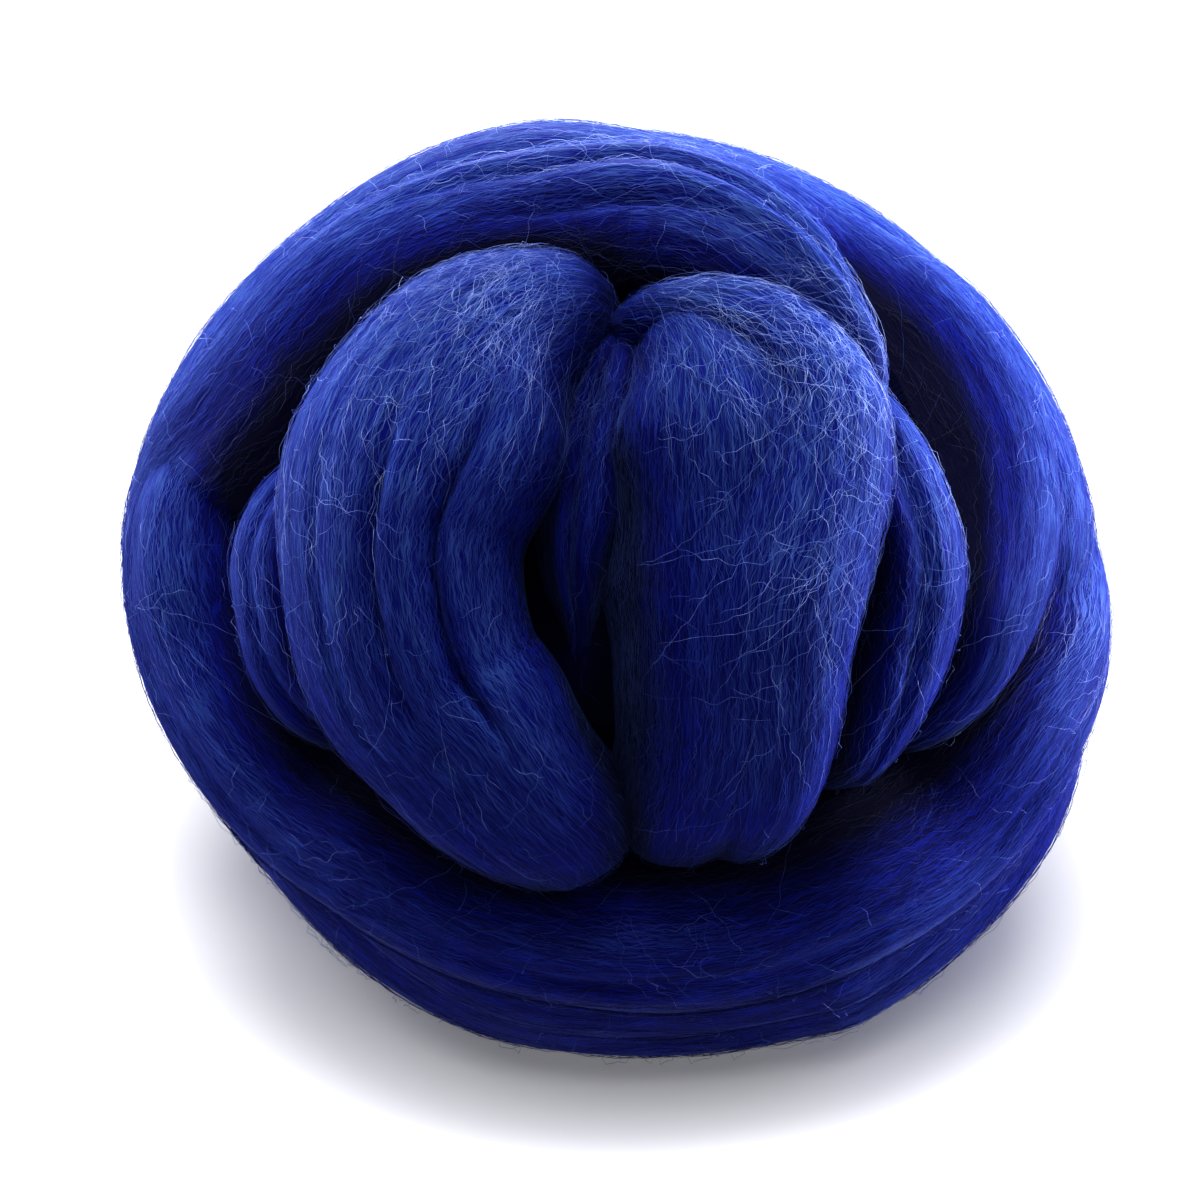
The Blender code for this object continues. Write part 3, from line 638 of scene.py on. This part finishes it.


# combed, unspun merino: noise stretched along the strand's uv draws fine crimped fibres all one way, which gives
# the eye the lie of the wool, each fibre paler than the mass, partly by its own tone and partly as a painted glint;
# its colour carries painted shade low in the winding and painted light on the crowns; it is matt, with a pale bloom
# where light grazes the loose ends
def combedWool():
    material, tree = newMaterial("combedWool")
    place = addNode(tree, "ShaderNodeUVMap", {"uv_map": "strand"}).outputs["UV"]
    lines = [fibreLines(tree, place, *layer) for layer in combed["layers"]]
    both = addNode(tree, "ShaderNodeMath", {"operation": "MAXIMUM"}, i0=lines[0], i1=lines[1]).outputs[0]
    fibre = addNode(tree, "ShaderNodeMath", {"operation": "MAXIMUM"}, i0=both, i1=lines[2]).outputs[0]
    along, across = combed["lockSize"]
    lock = addNode(tree, "ShaderNodeVectorMath", {"operation": "MULTIPLY"},
                   i0=place, i1=(1000 / along, 1000 / across, 0)).outputs[0]
    locks = addNoise(tree, lock, 1.0, 2.0)
    thick = mapRange(tree, locks, *combed["locks"], combed["thinLock"], 1.0)
    amount = addNode(tree, "ShaderNodeMath", {"operation": "MULTIPLY"}, i0=fibre, i1=thick).outputs[0]
    strength, height = combed["lockBump"]
    lockBump = addNode(tree, "ShaderNodeBump", Strength=strength, Distance=height, Height=locks).outputs[0]
    strength, height = combed["fibreBump"]
    fibreBump = addNode(tree, "ShaderNodeBump", Strength=strength, Distance=height, Height=fibre,
                        Normal=lockBump).outputs[0]
    surface = addNode(tree, "ShaderNodeBsdfPrincipled", Normal=fibreBump, Roughness=combed["roughness"],
                      Base_Color=shadedColour(tree, amount, combed["deep"], combed["crown"]),
                      Specular_IOR_Level=combed["specular"], Sheen_Weight=combed["sheen"],
                      Sheen_Roughness=combed["sheenRoughness"], Sheen_Tint=hexToLinear(combed["sheenTint"]))
    addNode(tree, "ShaderNodeOutputMaterial", Surface=surface.outputs[0])
    return material


# how many patches go to a metre, and where their noise is dark and where it is pale
single = {"patches": 420.0, "contrast": (0.35, 0.65), "specular": 0.2, "sheen": 0.2, "sheenTint": "#6c94ff"}


# single fibres of the same merino: painted paler than the mass behind them, a painted highlight for the light each
# catches along its length, with painted shade by openness, and patchy by a soft noise, so that no two lie alike
def looseWool(name, deep, crown, roughness):
    material, tree = newMaterial(name)
    place = addNode(tree, "ShaderNodeTexCoord").outputs["Object"]
    patch = mapRange(tree, addNoise(tree, place, single["patches"], 2.0, "3D"), *single["contrast"])
    surface = addNode(tree, "ShaderNodeBsdfPrincipled", Base_Color=shadedColour(tree, patch, deep, crown),
                      Roughness=roughness, Specular_IOR_Level=single["specular"], Sheen_Weight=single["sheen"],
                      Sheen_Tint=hexToLinear(single["sheenTint"]))
    addNode(tree, "ShaderNodeOutputMaterial", Surface=surface.outputs[0])
    return material


# mm from the middle of a pass to its side, at most
widest = 60


# mm that the fall has sunk each vertex of the skin, read back through the uv, for the painted shade in the valleys
def sunkDepth(mesh, grids):
    corners = np.empty(len(mesh.loops), int)
    mesh.loops.foreach_get("vertex_index", corners)
    place = np.empty(len(mesh.loops) * 2, np.float32)
    mesh.uv_layers["strand"].uv.foreach_get("vector", place)
    s, v = place.reshape(-1, 2).T / mm
    depth = np.zeros(len(mesh.vertices))
    last = skin["crownColumns"]
    for k, (points, uv, sunk) in enumerate(grids.values()):
        own = np.abs(v - uvStep * k) < widest
        i = np.interp(s[own], uv[:, 0, 0] / mm, np.arange(len(uv)))
        j = np.interp(-v[own], -uv[0, :last + 1, 1] / mm, np.arange(last + 1))
        depth[corners[own]] = sunk[np.rint(i).astype(int), np.rint(j).astype(int)]
    return depth


# each vertex's openness, also kept on the mesh to paint shade and light into its colours
def seenOpenness(mesh, tree, sunk):
    count = len(mesh.vertices)
    at, out = np.empty(count * 3), np.empty(count * 3)
    mesh.vertices.foreach_get("co", at)
    mesh.vertices.foreach_get("normal", out)
    at, out = at.reshape(-1, 3), out.reshape(-1, 3)
    chance = np.random.default_rng(3)
    rays = shade["rays"]
    reach = shade["reach"] * mm
    free = np.zeros(count)
    start = (at + out * shade["start"] * mm).tolist()
    for k in range(rays):
        # a little more than one normal's length keeps every ray above the skin
        aim = normalised(normalised(chance.normal(size=(count, 3))) + out * 1.02)
        for i, (p, a) in enumerate(zip(start, aim.tolist())):
            hit = tree.ray_cast(p, a, reach)[3]
            sky = 1 if a[2] > 0 else shade["fromBelow"]
            free[i] += sky * (1 if hit is None else (hit / reach) ** 2)
    # painted shade: the valley where a pass falls away is made less open, so it is painted darker
    free = free / rays - np.maximum(sunk - shade["valleyStart"], 0) * shade["valleyShade"]
    ends = np.empty(len(mesh.edges) * 2, int)
    mesh.edges.foreach_get("vertices", ends)
    a, b = ends.reshape(-1, 2).T
    near = np.bincount(a, minlength=count) + np.bincount(b, minlength=count)
    rounds, share = shade["smoothing"]
    for k in range(rounds):
        total = np.bincount(a, free[b], count) + np.bincount(b, free[a], count)
        free = (1 - share) * free + share * total / np.maximum(near, 1)
    mesh.attributes.new("openness", "FLOAT", "POINT").data.foreach_set("value", free.astype(np.float32))
    print("openness read: mean", round(float(free.mean()), 2))
    return free


# points of a pass between its rings and columns
def readGrid(points, i, j):
    rings, columns = points.shape[:2]
    i = np.clip(i, 0, rings - 1.001)
    j = np.clip(j, 0, columns - 1.001)
    a, b = i.astype(int), j.astype(int)
    u, v = (i - a)[..., None], (j - b)[..., None]
    return ((points[a, b] * (1 - u) + points[a + 1, b] * u) * (1 - v)
            + (points[a, b + 1] * (1 - u) + points[a + 1, b + 1] * u) * v)


def gridNormals(points):
    normals = normalised(np.cross(np.gradient(points, axis=0), np.gradient(points, axis=1)))
    outward = points - np.array(ball["middle"]) * mm
    return normals * np.sign((normals * outward).sum(-1, keepdims=True).mean())


# the fibres that lie along the strand, in mm
fibres = {
    "count": 8600,
    "pieces": "ABCD",        # they are shared out, to keep each piece small
    "tried": 2.6,            # times that count, as many end up under another pass
    "points": 12,
    "length": (7, 17),
    "width": 0.075,          # real wool is 0.02 mm, drawn as coarse as it needs to be to show
    "lift": (0.02, 0.34),    # off the strand
    "drift": 0.10,           # sideways for each mm along
    "bow": 0.012,            # sideways, by the square of the way along
    "crimp": (0.08, 0.26),   # the height of a fibre's own waves
    "crimpLength": (2.0, 4.2),
    # radians of each wave in that length: sideways, a finer one on it, and off the strand
    "turns": (waveTurn, 9.7, 5.1),
    "showing": 0.8,          # from the skin to a fibre's middle, at most
    "overFloor": 0.3,
    # shaded and lit copies of the fibres' colours, painted by the openness under each fibre and paler than the
    # skin's as a painted highlight, then their roughness
    "wool": (("#000a74", "#0a21a0"), ("#1830a8", "#5878cc"), 0.5),
}


# how far each fibre swings along its length: sideways in mm, and off the strand in m
def fibreWaves(chance, steps, length):
    count = len(length)
    slant = chance.normal(0, fibres["drift"], (count, 1)) * steps * length
    bow = chance.normal(0, fibres["bow"], (count, 1)) * (steps * length) ** 2
    wavelength = chance.uniform(*fibres["crimpLength"], (count, 1))
    phase = chance.uniform(0, waveTurn, (2, count, 1))
    crimp = chance.uniform(*fibres["crimp"], (count, 1))
    main, finer, off = [steps * length / wavelength * turns for turns in fibres["turns"]]
    side = crimp * np.sin(main + phase[0]) + 0.5 * crimp * np.sin(finer + phase[1])
    return slant + bow + side, crimp * mm * 0.5 * (1 + np.sin(off + phase[1]))


# paths that follow the strand a little off its surface, each with its own crimp, and how open each one lies, for
# its painted shade
def layFibres(grids, tree, mesh, free):
    chance = np.random.default_rng(5)
    crowns = [grid[0][:, :skin["crownColumns"] + 1] for grid in grids.values()]
    areas = []
    for crown in crowns:
        tall = np.linalg.norm(np.diff(crown, axis=0), axis=-1)[:, :-1]
        wide = np.linalg.norm(np.diff(crown, axis=1), axis=-1)[:-1]
        areas.append(tall * wide)
    total = sum(area.sum() for area in areas)
    paths, opens = [], []
    for crown, area in zip(crowns, areas):
        normals = gridNormals(crown)
        count = int(fibres["count"] * fibres["tried"] * area.sum() / total)
        spots = chance.choice(area.size, count, p=(area / area.sum()).ravel())
        i, j = np.unravel_index(spots, area.shape)
        i = i + chance.random(count)
        j = j + chance.random(count)
        length = chance.uniform(*fibres["length"], count)[:, None]
        steps = np.linspace(-0.5, 0.5, fibres["points"])[None, :]
        columnWidth = np.linalg.norm(np.diff(crown, axis=1), axis=-1).mean() / mm
        sideways, bounce = fibreWaves(chance, steps, length)
        i = i[:, None] + steps * length / skin["ringSpacing"]
        j = j[:, None] + sideways / columnWidth
        inside = (i >= 0) & (i <= crown.shape[0] - 1) & (j >= 0) & (j <= crown.shape[1] - 1)
        lift = chance.uniform(*fibres["lift"], (count, 1)) * mm + bounce
        at = readGrid(crown, i, j) + readGrid(normals, i, j) * lift[..., None]
        keep = []
        for n, middle in enumerate(at[:, fibres["points"] // 2].tolist()):
            near = tree.find_nearest(middle)
            shows = near[3] < fibres["showing"] * mm and at[n, :, 2].min() > fibres["overFloor"] * mm
            if shows and inside[n].all():
                opens.append(free[mesh.polygons[near[2]].vertices[0]])
                keep.append(n)
        paths.append(at[keep])
    paths, opens = np.concatenate(paths), np.array(opens)
    order = chance.permutation(len(paths))[:fibres["count"]]
    print("fibres laid:", len(order), "of", len(paths))
    return paths[order], opens[order]


# hairs that have come loose and wander a little across the strand, in mm
strays = {
    "count": 420,
    "points": 18,
    "length": (9, 24),
    "width": 0.055,
    "lift": (0.3, 1.5),
    "astray": 0.55,          # radians off the way the strand runs
    "curl": 0.05,            # radians a step
    # where a few dozen have come loose together: clock, lean and spread in degrees, and their count
    "tangles": ((100, 38, 6, 200), (62, 38, 6, 150), (40, 40, 5, 90), (14, 30, 6, 90), (-10, 31, 6, 60),
                (118, 40, 9, 100), (165, 36, 8, 40), (-80, 40, 5, 20), (-10, 62, 7, 20), (96, 60, 14, 80),
                (84, 37, 5, 90)),
    "seeds": (21, 9),
    # shaded and lit copies of the hairs' colours, painted by openness and paler than the laid fibres as a painted
    # highlight, then their roughness
    "wool": (("#1c3090", "#405cb8"), ("#5c78c8", "#aabeec"), 0.45),
}

# short fuzz that stands off the ball all round, in mm
fuzz = {
    "count": 1500,
    "points": 6,
    "length": (3, 8),
    "width": 0.06,
    "lift": (0.5, 1.8),
    "astray": 0.9,
    "curl": 0.12,
    "tangles": (),
    "seeds": (22, 10),
}

# what both have in common
wandering = {
    "from": 0.12,            # m from the ball's middle, outside it all round
    "wave": (0.25, 0.85),    # radians a step
    "waveLength": (2.5, 5),  # mm
    "jitter": 0.08,          # radians a step
    "shortest": 0.2,         # of a step, under which a hair keeps its heading
    "turnOut": 0.4,          # how far its way up leans from the skin's towards the ball's own
    "overFloor": 0.5,        # mm
}


# the way from the ball's middle to a place on its face, in the world
def toFace(clock, lean):
    return Vector(toWorld(direction(clock, lean)) / mm - np.array(ball["middle"]))


# how far off the skin a hair is along its length, from both ends up to an uneven top
def hairLift(share):
    return 0.15 + math.sin(share * math.pi) ** 0.7 * (0.7 + 0.3 * math.sin(share * 9))


# one hair's path over the skin from a point of it, starting along the strand or nearly so
def wanderFrom(point, normal, along, sizes, tree, chance):
    centre = Vector(ball["middle"]) * mm
    steps = sizes["points"] - 1
    swing = chance.normal(0, sizes["astray"])
    heading = along * math.cos(swing) + normal.cross(along) * math.sin(swing)
    step = chance.uniform(*sizes["length"]) * mm / steps
    drift = chance.normal(0, sizes["curl"])
    wave = chance.uniform(*wandering["wave"])
    pitch = step / (chance.uniform(*wandering["waveLength"]) * mm) * waveTurn
    phase = chance.uniform(0, waveTurn)
    top = chance.uniform(*sizes["lift"]) * mm
    path = []
    for k in range(sizes["points"]):
        path.append(point + normal * (top * hairLift(k / steps)))
        bend = drift + wave * math.sin(k * pitch + phase) + chance.normal(0, wandering["jitter"])
        turned = heading * math.cos(bend) + normal.cross(heading) * math.sin(bend)
        ahead = tree.find_nearest(point + turned * step)[0]
        moved = ahead - point
        heading = moved.normalized() if moved.length > step * wandering["shortest"] else turned
        point = ahead
        out = (point - centre).normalized()
        normal = (normal * (1 - wandering["turnOut"]) + out * wandering["turnOut"]).normalized()
    return path


# loose hairs all over the ball and in its tangles, each set off along the laid fibre nearest to it, and how open
# each one lies, for its painted shade
def looseHairs(sizes, tree, mesh, free, laid):
    aimSeed, pathSeed = sizes["seeds"]
    chance = np.random.default_rng(aimSeed)
    aims = [Vector(aim) for aim in chance.normal(size=(sizes["count"], 3))]
    for clock, lean, spread, count in sizes["tangles"]:
        off = chance.normal(0, spread, (count, 2))
        off[:, 0] /= math.sin(math.radians(lean))
        aims += [toFace(clock + c, lean + l) for c, l in off]
    flow = KDTree(len(laid))
    for n, middle in enumerate(laid[:, laid.shape[1] // 2].tolist()):
        flow.insert(middle, n)
    flow.balance()

    chance = np.random.default_rng(pathSeed)
    centre = Vector(ball["middle"]) * mm
    paths, opens = [], []
    for aim in aims:
        aim = aim.normalized()
        point, normal, face = tree.ray_cast(centre + aim * wandering["from"], -aim)[:3]
        if point is None:
            continue
        near = laid[flow.find(point)[1]]
        along = Vector((near[-1] - near[0]).tolist())
        along = (along - normal * along.dot(normal)).normalized()
        path = wanderFrom(point, normal, along, sizes, tree, chance)
        if all(place.z > wandering["overFloor"] * mm for place in path):
            paths.append([tuple(place) for place in path])
            opens.append(free[mesh.polygons[face].vertices[0]])
    return np.array(paths), np.array(opens)


# geometry nodes: paths of edges become thin closed fibres with fine tips
def spinTree():
    tree = bpy.data.node_groups.new("spinFibres", "GeometryNodeTree")
    for name, kind in (("Paths", "Geometry"), ("Width", "Float"), ("Sides", "Int"), ("Wool", "Material")):
        tree.interface.new_socket(name, in_out="INPUT", socket_type="NodeSocket" + kind)
    tree.interface.new_socket("Fibres", in_out="OUTPUT", socket_type="NodeSocketGeometry")
    given = addNode(tree, "NodeGroupInput").outputs
    thick = addNode(tree, "GeometryNodeInputNamedAttribute", {"data_type": "FLOAT"}, Name="thick").outputs[0]
    scale = addNode(tree, "ShaderNodeMath", {"operation": "MULTIPLY"}, i0=thick, i1=given["Width"]).outputs[0]
    curve = addNode(tree, "GeometryNodeMeshToCurve", Mesh=given["Paths"]).outputs[0]
    ring = addNode(tree, "GeometryNodeCurvePrimitiveCircle", Resolution=given["Sides"], Radius=0.5).outputs[0]
    tube = addNode(tree, "GeometryNodeCurveToMesh", Curve=curve, Profile_Curve=ring, Scale=scale, Fill_Caps=True)
    real = addNode(tree, "GeometryNodeRealizeInstances", Geometry=tube.outputs[0]).outputs[0]
    dressed = addNode(tree, "GeometryNodeSetMaterial", Geometry=real, Material=given["Wool"]).outputs[0]
    addNode(tree, "NodeGroupOutput", Fibres=dressed)
    return tree


# each fibre's section: its number of sides, how thick its tips are, and how soon it is at full width
fibreShape = {"sides": 3, "tip": 0.25, "taper": 4}


# one piece of many fibres from their paths
def spin(name, paths, opens, width, material, tree):
    count, points = paths.shape[:2]
    at = np.arange(count * points).reshape(count, points)
    edges = np.stack([at[:, :-1], at[:, 1:]], -1).reshape(-1, 2)
    mesh = bpy.data.meshes.new(name)
    mesh.from_pydata(paths.reshape(-1, 3).tolist(), edges.tolist(), [])
    share = np.linspace(0, 1, points)
    thick = np.clip(fibreShape["taper"] * np.minimum(share, 1 - share) + fibreShape["tip"], 0, 1)
    # each fibre carries the openness of the skin under it, for its painted shade and light
    for key, values in (("thick", np.tile(thick, count)), ("openness", np.repeat(opens, points))):
        mesh.attributes.new(key, "FLOAT", "POINT").data.foreach_set("value", values.astype(np.float32))
    piece = meshObject(name, mesh)
    change = piece.modifiers.new("spin", "NODES")
    change.node_group = tree
    given = {item.name: item.identifier for item in tree.interface.items_tree if item.in_out == "INPUT"}
    change[given["Width"]] = width * mm
    change[given["Sides"]] = fibreShape["sides"]
    change[given["Wool"]] = material
    bpy.context.view_layer.update()
    spun = bpy.data.meshes.new_from_object(piece.evaluated_get(bpy.context.evaluated_depsgraph_get()))
    piece.modifiers.clear()
    piece.data = spun
    spun.shade_smooth()
    print(name, "spun: triangles", sum(len(face.vertices) - 2 for face in spun.polygons))
    return piece


# as far away and as high as the photograph's, in mm
view = {"distance": 508, "lens": 100.4, "sensor": 36, "right": -1.14, "up": -1.8}


def addCamera():
    tilt = math.radians(ball["tilt"])
    out = Vector((0, -math.cos(tilt), math.sin(tilt)))
    up = Vector((0, math.sin(tilt), math.cos(tilt)))
    target = (Vector(ball["middle"]) + Vector((view["right"], 0, 0)) + up * view["up"]) * mm
    lens = bpy.data.cameras.new("camera")
    lens.lens = view["lens"]
    lens.sensor_width = view["sensor"]
    lens.clip_start = 0.01
    camera = bpy.data.objects.new("camera", lens)
    camera.location = target + out * view["distance"] * mm
    camera.rotation_euler = (-out).to_track_quat("-Z", "Y").to_euler()
    bpy.context.scene.collection.objects.link(camera)
    bpy.context.scene.camera = camera


# a white sheet under even light, and the wool lit softly from above, behind and both sides
studio = {
    "paper": "#f6f6f8",
    "floorHalf": 3.0,        # m
    "world": 0.05,
    # each sun: the way its light travels, its strength and its spread in degrees
    "floorSuns": {"softbox": ((0.05, 0.62, -1), 3.2, 36), "skylight": ((0.03, 0.30, -1), 1.4, 22)},
    "paperSun": ((0, 0, -1), 0.75, 10),
    "woolSun": ((0.05, -0.34, -1), 6.9, 50),
    # each round lamp: its place in m, and its watts
    "rims": {"leftRim": ((-0.70, 0.28, 0.22), 8.0), "rightRim": ((0.74, 0.20, 0.18), 23.0),
             "backRim": ((-0.1, 0.78, 0.30), 13.0)},
    "rimSize": 0.4,
    "rimAim": (0, 0, 0.07),
    "gamma": 0.82,           # a little more contrast, as the photograph has
}


# a light that only shines on what is in lit, and is only blocked by what is in shading
def addLight(name, lamp, aimed, place, lit, shading=None):
    light = bpy.data.objects.new(name, lamp)
    light.location = place
    light.rotation_euler = Vector(aimed).to_track_quat("-Z", "Y").to_euler()
    bpy.context.scene.collection.objects.link(light)
    light.light_linking.receiver_collection = lit
    if shading:
        light.light_linking.blocker_collection = shading


def addSun(name, travel, strength, spread, lit, shading=None):
    lamp = bpy.data.lights.new(name, "SUN")
    lamp.energy = strength
    lamp.angle = math.radians(spread)
    addLight(name, lamp, travel, (0, 0, 0), lit, shading)


def addRim(name, place, power, lit):
    lamp = bpy.data.lights.new(name, "AREA")
    lamp.shape = "DISK"
    lamp.size = studio["rimSize"]
    lamp.energy = power
    addLight(name, lamp, Vector(studio["rimAim"]) - Vector(place), place, lit)


def addFloor():
    half = studio["floorHalf"]
    corners = [(-half, -half, 0), (half, -half, 0), (half, half, 0), (-half, half, 0)]
    mesh = bpy.data.meshes.new("floor")
    mesh.from_pydata(corners, [], [(0, 1, 2, 3)])
    material, tree = newMaterial("palePaper")
    surface = addNode(tree, "ShaderNodeBsdfPrincipled", Base_Color=hexToLinear(studio["paper"]), Roughness=0.9)
    addNode(tree, "ShaderNodeOutputMaterial", Surface=surface.outputs[0])
    mesh.materials.append(material)
    floor = meshObject("floor", mesh)
    return floor


# the floor and the lights, and the collection that the wool joins to be lit
def addStudio():
    scene = bpy.context.scene
    lit = {name: bpy.data.collections.new(name) for name in ("onFloor", "onWool")}
    for collection in lit.values():
        scene.collection.children.link(collection)
    lit["onFloor"].objects.link(addFloor())
    scene.world = bpy.data.worlds.new("studio")
    scene.world.use_nodes = True
    background = scene.world.node_tree.nodes["Background"]
    background.inputs["Color"].default_value = (1, 1, 1, 1)
    background.inputs["Strength"].default_value = studio["world"]
    for name, sun in studio["floorSuns"].items():
        addSun(name, *sun, lit["onFloor"])
    addSun("paperLight", *studio["paperSun"], lit["onFloor"], lit["onFloor"])
    addSun("woolLight", *studio["woolSun"], lit["onWool"])
    for name, rim in studio["rims"].items():
        addRim(name, *rim, lit["onWool"])
    scene.view_settings.view_transform = "Standard"
    scene.view_settings.gamma = studio["gamma"]
    print("studio ready: lights", len(bpy.data.lights))
    return lit["onWool"]


addCamera()
onWool = addStudio()
skinPiece, grids = windSkin()
skinMesh = skinPiece.data
skinMesh.materials.clear()
skinMesh.materials.append(combedWool())
surface = BVHTree.FromPolygons([vertex.co for vertex in skinMesh.vertices],
                               [tuple(face.vertices) for face in skinMesh.polygons])
free = seenOpenness(skinMesh, surface, sunkDepth(skinMesh, grids))

spinner = spinTree()
lyingWool = looseWool("lyingWool", *fibres["wool"])
strayWool = looseWool("strayWool", *strays["wool"])
laid, laidOpen = layFibres(grids, surface, skinMesh, free)
perPiece = math.ceil(len(laid) / len(fibres["pieces"]))
pieces = [skinPiece]
for k, letter in enumerate(fibres["pieces"]):
    some = slice(k * perPiece, (k + 1) * perPiece)
    pieces.append(spin("fibres" + letter, laid[some], laidOpen[some], fibres["width"], lyingWool, spinner))
for name, sizes in (("strayHairs", strays), ("fuzz", fuzz)):
    paths, opens = looseHairs(sizes, surface, skinMesh, free, laid)
    pieces.append(spin(name, paths, opens, sizes["width"], strayWool, spinner))

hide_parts("roving_ball")
for piece in pieces:
    onWool.objects.link(piece)
    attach(piece, "root")
print("pieces ready:", len(pieces))
